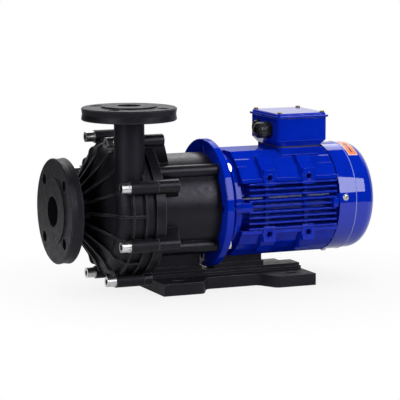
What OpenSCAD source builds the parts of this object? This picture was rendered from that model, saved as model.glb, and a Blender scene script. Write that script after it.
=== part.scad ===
// Magnetic drive pump: a moulded plastic wet end on a bracket and base,
// driven through a magnetic coupling by a flange-mounted induction motor.
// The shaft runs along X with the suction flange at the -X end, Z is up, and
// the origin is on the floor at the middle of the four base slots.

/* [Base] */
// Length of the base along the shaft
base_len = 258; // [230:1:300]
// Width of the base across the shaft
base_w = 154; // [130:1:190]
// Height of the four foot pads
pad_h = 18.5; // [15:0.5:22]
// Length of each foot pad
pad_len = 63; // [52:1:70]
// Depth of the waist on each side
waist_in = 33; // [15:1:40]
// Length of the curve between pad and waist
waist_turn = 26; // [16:1:32]
// Wall of the moulded base
base_wall = 5; // [4:0.5:6]
// Width of the ridge that carries the bracket and the saddle
ridge_w = 34; // [28:1:44]
// Spacing of the base slots along the shaft
slot_gap_x = 190; // [170:1:200]
// Spacing of the base slots across the shaft
slot_gap_y = 110; // [92:1:120]
// Width of a base slot
slot_d = 12; // [9:0.5:14]
// Overall length of a base slot
slot_len = 20; // [16:1:26]

/* [Shaft line] */
// Height of the shaft above the floor
axis_h = 130; // [128:1:150]

/* [Suction flange] */
// Outside diameter of the suction flange
suction_flange_d = 162; // [155:1:170]
// Thickness of the suction flange
suction_flange_t = 20; // [16:0.5:24]
// Bolt circle of the suction flange
suction_pcd = 125; // [120:0.5:128]
// Bore of the suction nozzle
suction_bore = 48; // [42:1:50]
// Diameter of the suction raised face
suction_face_d = 100; // [90:1:104]
// Distance of the suction face in front of the casing bolt bosses
suction_reach = 82; // [76:1:100]
// Wall of the suction nozzle
nozzle_wall = 7; // [5:0.5:9]

/* [Discharge flange] */
// Outside diameter of the discharge flange
discharge_flange_d = 144; // [138:1:150]
// Thickness of the discharge flange
discharge_flange_t = 19; // [16:0.5:22]
// Bolt circle of the discharge flange
discharge_pcd = 110; // [104:0.5:112]
// Bore of the discharge nozzle
discharge_bore = 36; // [30:1:38]
// Diameter of the discharge raised face
discharge_face_d = 84; // [76:1:90]
// Height of the discharge flange above the shaft
discharge_h = 162; // [156:1:180]
// Wall of the discharge nozzle
pipe_wall = 5; // [4:0.25:6]

/* [Both flanges] */
// Diameter of the flange bolt holes
flange_hole_d = 18; // [14:0.5:19]
// Height of the raised faces
face_rise = 2.5; // [1:0.25:4]

/* [Front casing] */
// Radius from the shaft to the middle of the volute
volute_r = 72; // [68:0.5:75]
// Length of the casing from its bolt bosses to the parting plane
casing_depth = 44; // [42:1:52]
// Radius of the bolt circle that holds the casing
bolt_ring_r = 115.3; // [114:0.1:120]
// Radius of a bolt boss
boss_r = 10; // [9:0.25:11]
// Number of stiffening ribs on the front
rib_count = 16; // [8:8:32]
// Thickness of a stiffening rib
rib_t = 3.6; // [2.5:0.1:5]
// Radius of the ring ribs round the casing
rim_r = 108; // [106:0.5:110]
// Diameter of the casing bolts
bolt_d = 10; // [8:1:10]

/* [Bracket] */
// Length of the bracket from the parting plane to the motor flange
bracket_len = 119; // [117:1:140]
// Thickness of the bracket ring flange
ring_t = 15; // [12:0.5:18]
// Wall of the bracket barrel
bracket_wall = 6.5; // [5:0.25:8]

/* [Impeller and magnets] */
// Diameter of the impeller
impeller_d = 116; // [104:1:120]
// Number of impeller vanes
vane_count = 6; // [4:1:8]
// Diameter of the ceramic spindle
spindle_d = 16; // [14:1:18]
// Inside radius of the containment can
can_r = 49; // [46:0.5:49.5]
// Wall of the containment can
can_wall = 3.5; // [2.5:0.25:4]
// Radial thickness of a drive magnet
magnet_t = 8; // [6:0.5:8.5]
// Number of magnets in each ring
magnet_count = 8; // [6:2:12]

/* [Motor] */
// Diameter of the motor flange
motor_flange_d = 200; // [190:1:204]
// Thickness of the motor flange
motor_flange_t = 12; // [10:0.5:13]
// Bolt circle of the motor flange
motor_pcd = 165; // [163:0.5:172]
// Diameter of the spigot that centres the motor
spigot_d = 130; // [120:1:134]
// Diameter of the motor shaft at its drive end
shaft_d = 24; // [20:1:26]
// Length of the motor frame
frame_len = 163; // [158:1:200]
// Half height of the motor frame over its top flat
frame_r = 82; // [80:0.5:83]
// Number of cooling fins on each side
fin_count = 9; // [5:2:9]
// Spacing of the cooling fins
fin_pitch = 8.7; // [7:0.1:8.8]
// Thickness of a cooling fin
fin_t = 2.6; // [2:0.1:3.5]
// Radius of the fan cowl
cowl_r = 86; // [85.5:0.25:92]
// Length of the fan cowl
cowl_len = 68; // [62:0.5:80]
// Thickness of the cowl sheet
cowl_t = 1.5; // [1:0.1:1.6]

/* [Terminal box] */
// Length of the terminal box along the shaft
box_len = 86; // [76:1:92]
// Width of the terminal box across the shaft
box_w = 99; // [94:1:110]
// Height of the terminal box wall
box_h = 35; // [34:0.5:44]
// Wall of the terminal box
box_wall = 4; // [3:0.25:5]
// Diameter of the cable entry thread
entry_d = 20; // [16:1:22]
// Diameter of the cable that the gland takes
cable_d = 11; // [8:0.5:12]

/* [Hidden] */
$fn = 64;

// Clearances
fit = 0.1;
run_fit = 0.08;
air = 3;
eps = 1;

// Stations along the shaft, from the base to each end
base_gap = 8;
x_part = -base_len / 2 - base_gap - ring_t;
x_bolt = x_part - casing_depth;
x_suction = x_bolt - suction_reach;
x_volute = x_bolt + 13;
x_motor = x_part + bracket_len;
shield_len = 34;
x_frame = x_motor + shield_len;
x_frame_end = x_frame + frame_len;
x_cowl = x_frame_end + 2;
x_cowl_end = x_cowl + cowl_len;

// Base: the ridge passes under the motor flange, and the deck beside it stays lower
flange_gap = 3.5;
ridge_z = axis_h - motor_flange_d / 2 - flange_gap;
ridge_rise = 7.5;
deck_h = min(pad_h, ridge_z - ridge_rise);
ridge_step_w = 12;
ridge_step_z = (deck_h + ridge_z) / 2;
foot_w = ridge_w - 4;
foot_screw_d = 8;

// Front casing
nozzle_r = suction_bore / 2 + nozzle_wall;
pipe_r = discharge_bore / 2 + pipe_wall;
volute_wall_r = pipe_r + 0.6;
channel_r = discharge_bore / 2 - 1;
neck_r = rim_r - 5;
seat_t = 10;
x_seat = x_part - seat_t;
x_chamber = x_volute - 14;
ring_rib_t = 2.6;
x_rim = x_bolt + 6;
x_rim_end = x_part - 15;
shoulder_r = 22;
shoulder_ring_r = neck_r - shoulder_r - 0.3;
x_shoulder = x_rim + 4;
support_len = 14;
mouth_len = 16;
x_mouth = x_chamber - mouth_len;
x_support = x_mouth - support_len;
mouth_r = suction_bore / 2 + 12;
support_r = suction_bore / 2 + 3;
o_ring_d = 4;
can_flange_r = neck_r - 5;
o_ring_r = can_flange_r - 4.5;
bolt_start = 22.5;
bolt_count = 8;
washer_t = 2;
washer_r = 0.86 * bolt_d;
spring_washer_t = 2.5;
bolt_head_r = 0.8 * bolt_d;

// Containment can, spindle and impeller
can_out_r = can_r + can_wall;
can_len = 60;
x_can_end = x_part + can_len;
socket_len = 10;
spindle_r = spindle_d / 2;
bush_r = spindle_r + 5;
thrust_t = 3.6;
end_play = 0.4;
x_bush = x_mouth + thrust_t + end_play;
x_socket = x_can_end - can_wall - socket_len;
x_bush_end = x_socket - thrust_t - end_play;
x_spindle = x_support + 3;
x_spindle_end = x_can_end - can_wall + 1;
impeller_r = impeller_d / 2;
passage_w = 8;
shroud_t = 4;
eye_r = suction_bore / 2;
x_eye = x_mouth + 2;
x_back = x_volute + passage_w / 2 + shroud_t;
capsule_r = can_r - air;
x_capsule = x_seat + 2;
x_capsule_end = x_bush_end;
capsule_skin = 3;
inner_magnet_r = capsule_r - capsule_skin;
inner_yoke_r = inner_magnet_r - magnet_t;
hub_r = bush_r + 5;

// Drive magnets, yoke and bracket barrel
drive_magnet_r = can_out_r + air;
yoke_bore_r = drive_magnet_r + magnet_t;
yoke_r = yoke_bore_r + 6.5;
x_yoke = x_part + 2;
x_yoke_floor = x_can_end + 4;
yoke_floor_t = 8;
barrel_bore_r = yoke_r + air;
barrel_r = barrel_bore_r + bracket_wall;
yoke_hub_r = shaft_d / 2 + 12;
x_hub_end = x_motor - 7;
x_shaft = x_yoke_floor - 1;
key_w = 8;
key_h = 7;
spigot_h = 3.5;
rail_hole_len = 34;
lug_len = 34;
lug_slope = 15;
// Lugs stand this far back from the parting plane, and the barrel from the motor flange
land_h = 0.5;

// Motor
motor_bolt_d = 10;
bearing_w = 15;
bearing_r = 26;
bearing_bore_r = 12.5;
x_front_bearing = x_motor + 4;
x_rear_bearing = x_frame_end - 14;
stator_r = 62;
frame_wall = 5;
air_gap = 0.5;
rotor_r = 42;
core_len = 90;
x_core = x_frame + (frame_len - core_len) / 2 - 3;
ear_r = frame_r + 2.5;
ear_w = 14;
ear_bolt_r = frame_r - 4.5;
ear_bolt_d = 5;
x_ear = x_frame - 13;
ledge_y = frame_r - 4;
ledge_drop = 38.7;
ledge_z = frame_r - ledge_drop;
ledge_t = 6;
// Corner of the frame from its top flat down to the ledge, as half widths and drops
frame_corner = [
    [31, 0], [46.5, 10.5], [50, 11.5], [58.5, 20.5], [63, 21.5],
    [ledge_y - 4, ledge_drop - 0.7], [ledge_y, ledge_drop]
];
fin_tip = frame_r - 1;
fin_in = 11;
pad_gap_x = 67;
pad_gap_z = 88;
foot_pad_x = x_frame + 46;
pad_hole_r = 4.2;
pad_w = 20;
pad_tall = 25;
pad_face = frame_r - 2;
cowl_screw_x = x_cowl + 10;
// The cowl screws sit a few degrees off the ears of the frame
cowl_screw_turn = -5;
cowl_lug_r = cowl_r - cowl_t - 0.3;
x_cowl_step = x_cowl + 29;
cowl_round = 23;

// Terminal box
box_x = x_frame + 73 + box_len / 2;
gasket_t = 2;
box_pad_z = frame_r + 3;
box_pad_t = 13;
neck_z = box_pad_z + gasket_t;
box_z = neck_z + 9;
lid_z = box_z + box_h;
lid_lip_t = 3;
lid_top_t = 4;
lip_over = 3;
lid_edge = 1.5;
lid_gasket_t = 1;
lid_screw_d = 4;
lid_screw_len = 20;
lid_hole_len = 16;
box_seat_w = 8;
wire_window = 30;
box_neck_in = 7;
entry_y = 20;
entry_z = box_z + 16;
x_box = box_x - box_len / 2;
lid_screw_in = 6;
gland_hex_r = 0.68 * entry_d;

// Shared shapes

// Stands children that are built along their own z axis on the shaft line
module along_shaft() {
    translate([0, 0, axis_h]) rotate([90, 0, 90]) children();
}

// A tube along z from one station to another
module tube(r_out, r_in, x0, x1) {
    translate([0, 0, x0]) difference() {
        cylinder(r = r_out, h = x1 - x0);
        translate([0, 0, -eps]) cylinder(r = r_in, h = x1 - x0 + 2 * eps);
    }
}

module rod(r, x0, x1) {
    translate([0, 0, x0]) cylinder(r = r, h = x1 - x0);
}

// Copies children round the axis at one radius
module ring_of(count, r, start = 0) {
    for (i = [0 : count - 1])
        rotate([0, 0, start + i * 360 / count]) translate([r, 0, 0]) children();
}

// A plate in a plane through the axis, from points of radius and station
module radial_plate(points, t) {
    rotate([90, 0, 0]) translate([0, 0, -t / 2]) linear_extrude(t) polygon(points);
}

// Points on an arc about a centre, from one angle to another
function arc(c, r, a0, a1, n) = [
    for (i = [0 : n]) let (a = a0 + (a1 - a0) * i / n) c + r * [cos(a), sin(a)]
];

// A box with its four upright edges rounded, standing on z = 0
module rounded_block(size, r) {
    linear_extrude(size[2]) rounded_plate([size[0], size[1]], r);
}

module rounded_plate(size, r) {
    square([size[0] - 2 * r, size[1]], center = true);
    square([size[0], size[1] - 2 * r], center = true);
    for (sx = [-1, 1], sy = [-1, 1])
        translate([sx * (size[0] / 2 - r), sy * (size[1] / 2 - r)]) circle(r = r);
}

// A hexagon nut, plug or bolt head by its corner radius
module hexagon(r, h) {
    cylinder(r = r, h = h, $fn = 6);
}

// A pan head screw pointing down from z = 0, with a cross recess
module pan_screw(d, len, head_h) {
    head_r = 0.95 * d;
    difference() {
        union() {
            rotate_extrude() polygon(concat(
                [[0, 0], [head_r, 0], [head_r, head_h * 0.4]],
                [[head_r * 0.8, head_h * 0.85], [head_r * 0.5, head_h], [0, head_h]]));
            translate([0, 0, -len]) cylinder(d = d, h = len + head_h / 2);
        }
        for (a = [0, 90])
            rotate([0, 0, a]) translate([-head_r * 0.6, -d * 0.1, head_h * 0.5])
                cube([head_r * 1.2, d * 0.2, head_h]);
    }
}

// A hexagon socket head screw along z, its head on the -z side of z = 0
module socket_screw(d, len) {
    difference() {
        union() {
            rod(bolt_head_r * d / bolt_d, -d, 0);
            rod(d / 2, -eps, len);
        }
        translate([0, 0, -d - eps]) cylinder(r = 0.46 * d, h = 0.55 * d + eps, $fn = 6);
    }
}

// Base

// Half the width of the base at station x, with a smooth turn to its waist
function waist_turn_at(x) =
    let (u = min(1, max(0, (base_len / 2 - pad_len - abs(x)) / waist_turn)))
    waist_in * (1 - cos(180 * u)) / 2;

// Outline of the base, drawn in by an inset on every side
function base_outline(inset) =
    let (
        turn = [for (i = [0 : 10]) base_len / 2 - pad_len - waist_turn * i / 10],
        side = concat([base_len / 2 - inset], turn, [for (i = [10 : -1 : 0]) -turn[i]],
            [-base_len / 2 + inset])
    )
    concat(
        [for (x = side) [x, base_w / 2 - inset - waist_turn_at(x)]],
        [for (i = [len(side) - 1 : -1 : 0]) [side[i], -base_w / 2 + inset + waist_turn_at(side[i])]]
    );

module at_slots() {
    for (sx = [-1, 1], sy = [-1, 1])
        translate([sx * slot_gap_x / 2, sy * slot_gap_y / 2, 0]) children();
}

module slot_shape(d, len) {
    square([len - d, d], center = true);
    for (s = [-1, 1]) translate([s * (len - d) / 2, 0]) circle(d = d);
}

// The two-step ridge along the base, drawn in by an inset
module ridge_shape(inset) {
    ridge_len = base_len - 2 * inset;
    linear_extrude(ridge_step_z - inset)
        square([ridge_len, ridge_w + ridge_step_w - 2 * inset], center = true);
    linear_extrude(ridge_z - inset)
        square([ridge_len, ridge_w - 2 * inset], center = true);
}

// Room over the deck, which cuts the base where a low shaft brings the deck under the pads
module deck_room() {
    translate([-base_len, waist_in - base_w / 2, ridge_z - ridge_rise])
        cube([2 * base_len, base_w - 2 * waist_in, axis_h]);
}

module base_plate() {
    boss_d = slot_d + 12;
    color([0.13, 0.13, 0.14]) difference() {
        union() {
            difference() {
                union() {
                    difference() {
                        linear_extrude(pad_h) polygon(base_outline(0));
                        deck_room();
                    }
                    ridge_shape(0);
                }
                translate([0, 0, -eps]) linear_extrude(deck_h - base_wall + eps)
                    polygon(base_outline(base_wall));
                ridge_shape(base_wall);
            }
            at_slots() linear_extrude(pad_h) slot_shape(boss_d, slot_len + 12);
            for (x = [-1, 0, 1])
                translate([x * (base_len / 2 - pad_len), 0, deck_h / 2])
                    cube([base_wall, base_w - 2 * waist_in - base_wall, deck_h], center = true);
        }
        at_slots() translate([0, 0, -eps]) linear_extrude(pad_h + 2 * eps) slot_shape(slot_d, slot_len);
        at_foot_screws() {
            translate([0, 0, -eps]) cylinder(d = 2 * foot_screw_d, h = ridge_z - base_wall + eps);
            cylinder(d = foot_screw_d + 2 * fit, h = ridge_z + eps);
        }
    }
}

saddle_x = [x_motor + 15, x_frame + 65];
foot_x = [x_part + ring_t + 14, x_motor - 10];

module at_foot_screws() {
    for (x = [foot_x[0] + 18, foot_x[1] - 18, saddle_x[0] + 18, saddle_x[1] - 18])
        translate([x, 0, 0]) children();
}

module foot_screws() {
    color([0.75, 0.75, 0.76]) at_foot_screws()
        translate([0, 0, ridge_z - base_wall]) socket_screw(foot_screw_d, base_wall + 12);
}

module motor_saddle() {
    saddle_top = axis_h - frame_r;
    saddle_len = saddle_x[1] - saddle_x[0];
    toe_h = 8;
    color([0.12, 0.12, 0.13]) translate([saddle_x[0], 0, 0]) difference() {
        union() {
            translate([0, -foot_w / 2, ridge_z]) cube([saddle_len - 3, foot_w, saddle_top - ridge_z]);
            translate([0, -ridge_w / 2, ridge_z]) cube([saddle_len, ridge_w, toe_h]);
        }
        for (x = [18, saddle_len - 18])
            translate([x, 0, ridge_z - eps]) cylinder(d = foot_screw_d + 2 * fit, h = 12.5 + eps);
    }
}

// Bracket between the casing and the motor

module at_bolts() {
    ring_of(bolt_count, bolt_ring_r, bolt_start) children();
}

// The lower two lugs stop short of the base
function lug_end(i) = abs(sin(bolt_start + i * 360 / bolt_count) + 1) < 0.2 ? ring_t - 1 : lug_len;

module bracket_lugs() {
    for (i = [0 : bolt_count - 1]) rotate([0, 0, bolt_start + i * 360 / bolt_count]) {
        len = lug_end(i);
        slope = len > ring_t ? lug_slope : 0;
        translate([bolt_ring_r, 0, 0]) rod(boss_r, x_part + land_h, x_part + len);
        radial_plate([
            [barrel_bore_r + 2, x_part + 1], [bolt_ring_r, x_part + 1], [bolt_ring_r, x_part + len],
            [barrel_bore_r + 2, x_part + len + slope]
        ], 1.5 * boss_r);
    }
}

module motor_boss_holes(r, depth) {
    ring_of(4, motor_pcd / 2, 45) translate([0, 0, x_motor - depth]) cylinder(r = r, h = depth + eps);
}

module bracket() {
    rear_t = 8;
    rail_r = 10;
    color([0.14, 0.14, 0.15]) difference() {
        union() {
            along_shaft() difference() {
                union() {
                    rod(rim_r, x_part, x_part + ring_t);
                    rod(barrel_r, x_part + ring_t - eps, x_motor - land_h);
                    bracket_lugs();
                    ring_of(4, motor_pcd / 2, 45) rod(rail_r, x_part + 2, x_motor);
                }
                rod(barrel_bore_r, x_part - eps, x_motor - rear_t);
                rod(spigot_d / 2 + fit, x_motor - rear_t - eps, x_motor + eps);
                at_bolts() rod(bolt_d / 2 + fit, x_part - eps, x_part + lug_len - 4);
                motor_boss_holes(motor_bolt_d / 2 + fit, rail_hole_len);
            }
            difference() {
                translate([foot_x[0], -foot_w / 2, ridge_z])
                    cube([foot_x[1] - foot_x[0], foot_w, axis_h - barrel_bore_r - ridge_z]);
                along_shaft() rod(barrel_bore_r + bracket_wall / 2, x_part, x_motor);
            }
            translate([foot_x[0] - 5, -ridge_w / 2, ridge_z])
                cube([foot_x[1] - foot_x[0] + 8, ridge_w, 7]);
        }
        at_foot_screws() translate([0, 0, ridge_z - eps])
            cylinder(d = foot_screw_d + 2 * fit, h = 12.5 + eps);
    }
}

// Front casing

// The suction flange, neck, front wall and rim as one turned outline
function casing_outline() =
    let (
        r = suction_flange_d / 2,
        edge = 1.5,
        hollow = 1.2,
        x_back_face = x_suction + suction_flange_t
    )
    [
        [0, x_suction - face_rise], [suction_face_d / 2, x_suction - face_rise],
        [suction_face_d / 2, x_suction], [r - edge, x_suction], [r, x_suction + edge],
        [r - hollow, x_suction + suction_flange_t / 2], [r, x_back_face - edge],
        [r - edge, x_back_face], [nozzle_r, x_back_face], [nozzle_r, x_support - 4],
        [neck_r - shoulder_r, x_shoulder - shoulder_r], [neck_r, x_shoulder],
        [neck_r, x_part], [0, x_part]
    ];

// Impeller chamber with the volute channel round it, open to the back
function chamber_outline() = concat(
    [[0, x_chamber], [mouth_r, x_chamber]],
    arc([volute_r, x_volute], channel_r, -124, 0, 8),
    [[volute_r + channel_r, x_seat], [0, x_seat]]
);

module front_ribs() {
    crest_r = volute_r + 18.5;
    x_flange_back = x_suction + suction_flange_t;
    plate = concat(
        [[nozzle_r - 5, x_flange_back + 6], [nozzle_r + 4, x_flange_back + 12]],
        [[volute_r + 10, x_volute - volute_wall_r - 5]],
        arc([crest_r, x_volute - volute_wall_r + 7.5], 9, -75, 0, 4),
        [[rim_r, x_rim], [rim_r, x_rim_end], [neck_r - 3, x_rim_end], [neck_r - 3, x_rim],
            [volute_r - 8, x_volute - 8], [nozzle_r - 5, x_chamber]]
    );
    for (i = [0 : rib_count - 1]) rotate([0, 0, i * 360 / rib_count]) radial_plate(plate, rib_t);
}

module casing_bosses() {
    at_bolts() rod(boss_r, x_bolt, x_part);
    for (i = [0 : bolt_count - 1]) rotate([0, 0, bolt_start + i * 360 / bolt_count])
        radial_plate([
            [neck_r - 2, x_bolt + 4], [bolt_ring_r, x_bolt], [bolt_ring_r, x_part], [neck_r - 2, x_part]
        ], boss_r);
}

// The discharge nozzle rises from the near side of the volute
module at_discharge() {
    translate([x_volute, -volute_r, axis_h]) children();
}

module discharge_nozzle() {
    r = discharge_flange_d / 2;
    edge = 1.5;
    hollow = 1.2;
    z0 = discharge_h - discharge_flange_t;
    cylinder(r = pipe_r, h = discharge_h - 2);
    rotate_extrude() polygon([
        [0, z0 - 3], [pipe_r, z0 - 3], [pipe_r + 7, z0], [r - edge, z0], [r, z0 + edge],
        [r - hollow, z0 + discharge_flange_t / 2], [r, discharge_h - edge], [r - edge, discharge_h],
        [discharge_face_d / 2, discharge_h], [discharge_face_d / 2, discharge_h + face_rise],
        [0, discharge_h + face_rise]
    ]);
}

module casing_cavity() {
    along_shaft() {
        rod(suction_bore / 2, x_suction - face_rise - eps, x_mouth);
        rod(support_r + fit, x_support, x_mouth + eps);
        rod(mouth_r, x_mouth, x_chamber + eps);
        rotate_extrude() polygon(chamber_outline());
        rod(can_flange_r + fit, x_seat, x_part + eps);
        tube(o_ring_r + o_ring_d / 2 + fit, o_ring_r - o_ring_d / 2 - fit, x_seat - o_ring_d, x_seat + eps);
        at_bolts() rod(bolt_d / 2 + 0.5, x_bolt - eps, x_part + eps);
        ring_of(4, suction_pcd / 2, 45)
            rod(flange_hole_d / 2, x_suction - eps, x_suction + suction_flange_t + eps);
    }
    at_discharge() {
        cylinder(d = discharge_bore, h = discharge_h + face_rise + eps);
        ring_of(4, discharge_pcd / 2, 45) translate([0, 0, discharge_h - discharge_flange_t - eps])
            cylinder(d = flange_hole_d, h = discharge_flange_t + 2 * eps);
    }
}

module front_casing() {
    color([0.15, 0.15, 0.16]) difference() {
        union() {
            along_shaft() {
                rotate_extrude() polygon(casing_outline());
                rotate_extrude() translate([shoulder_ring_r, x_shoulder]) circle(r = shoulder_r);
                rod(rim_r, x_rim, x_rim + ring_rib_t);
                rod(rim_r, x_rim_end - ring_rib_t, x_rim_end);
                front_ribs();
                casing_bosses();
            }
            at_discharge() discharge_nozzle();
        }
        casing_cavity();
    }
}

// Wet end inside the casing

module mouth_ring() {
    color("ivory") along_shaft() tube(mouth_r - fit, eye_r + 6.8, x_mouth, x_chamber);
}

module spindle_support() {
    hub_out_r = spindle_r + 4;
    arm_t = 5;
    color([0.2, 0.2, 0.22]) along_shaft() difference() {
        union() {
            tube(support_r, suction_bore / 2, x_support, x_mouth);
            rotate_extrude() polygon([
                [0, x_support - 6], [hub_out_r * 0.5, x_support - 5], [hub_out_r, x_support],
                [hub_out_r, x_mouth], [0, x_mouth]
            ]);
            for (i = [0 : 2]) rotate([0, 0, 90 + i * 120]) radial_plate([
                [0, x_support + 2], [support_r - 1, x_support + 2],
                [support_r - 1, x_mouth - 2], [0, x_mouth - 2]
            ], arm_t);
        }
        rod(spindle_r + fit, x_spindle, x_mouth + eps);
    }
}

module spindle() {
    color("white") along_shaft() rotate_extrude() polygon([
        [0, x_spindle], [spindle_r - 1, x_spindle], [spindle_r, x_spindle + 1],
        [spindle_r, x_spindle_end - 1], [spindle_r - 1, x_spindle_end], [0, x_spindle_end]
    ]);
}

module front_thrust_ring() {
    color("white") along_shaft() tube(bush_r, spindle_r + fit, x_mouth, x_mouth + thrust_t);
}

module rear_thrust_ring() {
    color("white") along_shaft() tube(bush_r, spindle_r + fit, x_socket - thrust_t, x_socket);
}

module rear_casing() {
    socket_r = bush_r + 2;
    color([0.16, 0.16, 0.18]) along_shaft() difference() {
        rotate_extrude() polygon([
            [0, x_socket], [socket_r, x_socket], [socket_r, x_can_end - can_wall],
            [can_r - 4, x_can_end - can_wall], [can_r, x_can_end - can_wall - 4],
            [can_r, x_seat], [can_flange_r, x_seat], [can_flange_r, x_part],
            [can_out_r, x_part], [can_out_r, x_can_end - 4], [can_out_r - 4, x_can_end], [0, x_can_end]
        ]);
        rod(spindle_r + fit, x_socket - eps, x_spindle_end);
    }
}

module casing_o_ring() {
    color("black") along_shaft() rotate_extrude()
        translate([o_ring_r, x_seat - o_ring_d / 2]) circle(d = o_ring_d, $fn = 32);
}

// Bolts reach from their heads into the bracket lugs
module casing_bolts() {
    head_x = x_bolt - washer_t - spring_washer_t;
    color([0.8, 0.8, 0.82]) along_shaft() for (i = [0 : bolt_count - 1])
        rotate([0, 0, bolt_start + i * 360 / bolt_count]) translate([bolt_ring_r, 0, head_x])
            socket_screw(bolt_d, x_part + lug_end(i) - 5 - head_x);
}

module casing_spring_washers() {
    split_w = 1.5;
    color([0.7, 0.7, 0.72]) along_shaft() at_bolts() difference() {
        tube(bolt_d * 0.82, bolt_d / 2 + 0.3, x_bolt - washer_t - spring_washer_t, x_bolt - washer_t);
        translate([0, -split_w / 2, x_bolt - washer_t - spring_washer_t - eps])
            cube([bolt_d, split_w, spring_washer_t + 2 * eps]);
    }
}

module casing_washers() {
    color([0.82, 0.82, 0.84]) along_shaft() at_bolts()
        tube(washer_r, bolt_d / 2 + 0.3, x_bolt - washer_t, x_bolt);
}

// Impeller and inner magnet rotor

// One backward-curved vane between the hub and the rim, as a slice of a ring
module vane_shape() {
    vane_t = 3;
    sweep_r = impeller_r * 0.62;
    intersection() {
        translate([impeller_r * 0.5, impeller_r * 0.28]) difference() {
            circle(r = sweep_r);
            circle(r = sweep_r - vane_t);
        }
        translate([-impeller_r, -impeller_r]) square([2 * impeller_r, 1.28 * impeller_r]);
        difference() {
            circle(r = impeller_r - 0.5);
            circle(r = eye_r - 1);
        }
    }
}

module impeller() {
    x_front = x_volute - passage_w / 2;
    x_rear = x_volute + passage_w / 2;
    neck_out_r = eye_r + 6;
    color([0.2, 0.2, 0.23]) along_shaft() difference() {
        union() {
            rotate_extrude() polygon([
                [eye_r, x_eye], [neck_out_r, x_eye], [neck_out_r, x_front - shroud_t - 2],
                [impeller_r, x_front - shroud_t], [impeller_r, x_front],
                [eye_r + 4, x_front - 2], [eye_r, x_front - 8]
            ]);
            rotate_extrude() polygon([
                [0, x_bush + 6], [hub_r - 3, x_bush + 6], [hub_r, x_front], [hub_r + 6, x_rear],
                [impeller_r, x_rear], [impeller_r, x_back], [hub_r + 12, x_back + 3],
                [hub_r + 12, x_capsule], [0, x_capsule]
            ]);
            for (i = [0 : vane_count - 1]) rotate([0, 0, i * 360 / vane_count])
                translate([0, 0, x_front - 1.5]) linear_extrude(passage_w + 2.5) vane_shape();
        }
        rod(bush_r, x_bush - eps, x_capsule + eps);
    }
}

module impeller_bush() {
    color([0.25, 0.25, 0.26]) along_shaft() tube(bush_r, spindle_r + run_fit, x_bush, x_bush_end);
}

module magnet_capsule() {
    color([0.22, 0.22, 0.25]) along_shaft() difference() {
        rod(capsule_r, x_capsule, x_capsule_end);
        rod(bush_r, x_capsule - eps, x_capsule_end + eps);
        tube(inner_magnet_r, hub_r, x_capsule + capsule_skin, x_capsule_end + eps);
    }
}

module inner_yoke() {
    color([0.5, 0.5, 0.52]) along_shaft()
        tube(inner_yoke_r, hub_r, x_capsule + capsule_skin, x_capsule_end - capsule_skin);
}

// Curved magnets standing round a ring
module magnet_ring(r_in, r_out, x0, x1) {
    span = 0.8 * 360 / magnet_count;
    for (i = [0 : magnet_count - 1]) rotate([0, 0, i * 360 / magnet_count])
        rotate_extrude(angle = span) translate([r_in, x0]) square([r_out - r_in, x1 - x0]);
}

module inner_magnets() {
    color([0.55, 0.55, 0.58]) along_shaft()
        magnet_ring(inner_yoke_r + fit, inner_magnet_r - fit,
            x_capsule + capsule_skin, x_capsule_end - capsule_skin);
}

module capsule_cap() {
    color([0.22, 0.22, 0.25]) along_shaft()
        tube(inner_magnet_r, hub_r, x_capsule_end - capsule_skin, x_capsule_end);
}

// Drive magnets on the motor shaft

module key_slot() {
    translate([-key_w / 2, shaft_d / 2 - key_h / 2, x_yoke_floor + yoke_floor_t + 4])
        cube([key_w, key_h, x_hub_end - x_yoke_floor - yoke_floor_t - 8]);
}

module drive_yoke() {
    color([0.45, 0.46, 0.48]) along_shaft() difference() {
        union() {
            rod(yoke_r, x_yoke, x_yoke_floor + yoke_floor_t);
            rod(yoke_hub_r, x_yoke_floor, x_hub_end);
        }
        rod(yoke_bore_r, x_yoke - eps, x_yoke_floor);
        rod(shaft_d / 2, x_yoke_floor - eps, x_hub_end + eps);
        key_slot();
        set_screw_hole();
    }
}

module set_screw_hole() {
    translate([0, 0, x_hub_end - 8]) rotate([90, 0, 0]) cylinder(r = 3, h = yoke_hub_r + eps);
}

module yoke_set_screw() {
    color([0.3, 0.3, 0.3]) along_shaft() intersection() {
        set_screw_hole();
        tube(yoke_hub_r - 1, shaft_d / 2, x_hub_end - 14, x_hub_end);
    }
}

module drive_magnets() {
    color([0.55, 0.55, 0.58]) along_shaft()
        magnet_ring(drive_magnet_r, yoke_bore_r - fit, x_yoke + 1, x_can_end - 8);
}

module drive_key() {
    color([0.6, 0.6, 0.62]) along_shaft() key_slot();
}

// Motor rotor

module motor_shaft() {
    shoulder = 4;
    fan_r = 10;
    x_fan_end = x_cowl_end - 16;
    color([0.72, 0.72, 0.74]) along_shaft() difference() {
        rotate_extrude() polygon([
            [0, x_shaft], [shaft_d / 2 - 1, x_shaft], [shaft_d / 2, x_shaft + 1],
            [shaft_d / 2, x_motor + 1], [bearing_bore_r, x_motor + 1],
            [bearing_bore_r, x_front_bearing + bearing_w],
            [bearing_bore_r + shoulder, x_front_bearing + bearing_w],
            [bearing_bore_r + shoulder, x_rear_bearing], [bearing_bore_r, x_rear_bearing],
            [bearing_bore_r, x_rear_bearing + bearing_w + 4], [fan_r, x_rear_bearing + bearing_w + 4],
            [fan_r, x_fan_end], [0, x_fan_end]
        ]);
        key_slot();
    }
}

module rotor_core() {
    color([0.5, 0.5, 0.52]) along_shaft()
        tube(rotor_r, bearing_bore_r + 4, x_core, x_core + core_len);
}

module rotor_end_rings() {
    ring_w = 8;
    color([0.78, 0.79, 0.8]) along_shaft() {
        tube(rotor_r - 2, rotor_r - 16, x_core - ring_w, x_core);
        tube(rotor_r - 2, rotor_r - 16, x_core + core_len, x_core + core_len + ring_w);
    }
}

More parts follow.
